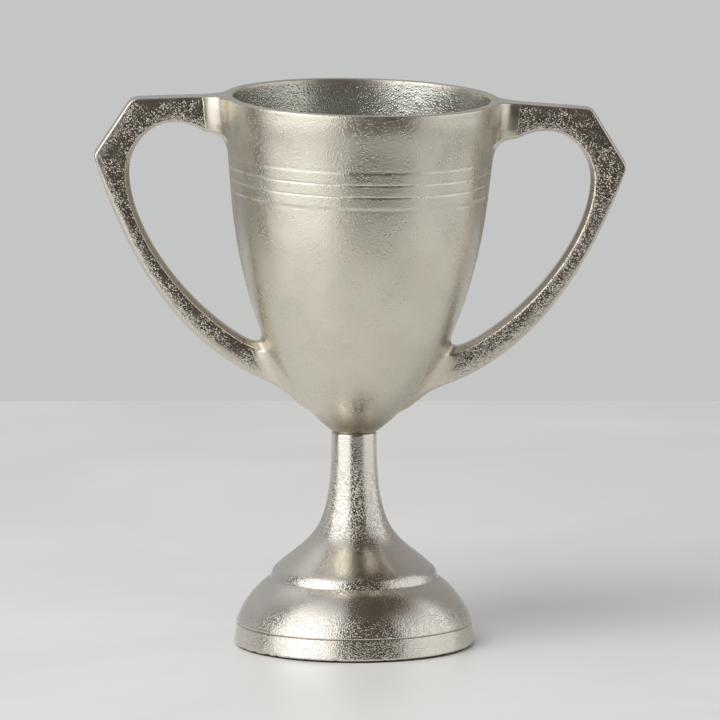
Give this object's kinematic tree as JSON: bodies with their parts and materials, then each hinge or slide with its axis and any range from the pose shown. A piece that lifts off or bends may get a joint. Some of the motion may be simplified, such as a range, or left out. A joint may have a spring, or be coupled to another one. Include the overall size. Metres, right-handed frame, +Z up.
{
  "type": "cup trophy",
  "caption": "Two-handled presentation cup: ribbed tapering bowl, angular welded loop handles, slim stem, stepped domed foot and a felt pad.",
  "frame": {"origin": "centre of the pad's underside, on the axis of the stem, where the cup rests on the table", "axes": "+Z up the stem, +X towards the right handle, +Y towards the back"},
  "size_m": [0.24, 0.125, 0.2514],
  "materials": {
    "satin_cast": "nickel-plated sand casting, ground and satin-finished, with fine pits",
    "rough_cast": "nickel-plated rough sand casting with polished edges",
    "bright_cast": "bright nickel-plated sand casting with a fine orange-peel skin",
    "ground_weld": "weld ground smooth and plated",
    "zinc_steel": "zinc-plated steel",
    "felt": "thin dark brown felt"
  },
  "bodies": {
    "root": {"bowl": "satin_cast", "left_handle": "rough_cast", "right_handle": "rough_cast", "left_upper_weld": "ground_weld", "left_lower_weld": "ground_weld", "right_upper_weld": "ground_weld", "right_lower_weld": "ground_weld", "pedestal": "bright_cast", "base_plate": "bright_cast", "tie_stud": "zinc_steel", "flat_washer": "zinc_steel", "spring_washer": "zinc_steel", "hex_nut": "zinc_steel", "base_pad": "felt"}
  },
  "joints": []
}
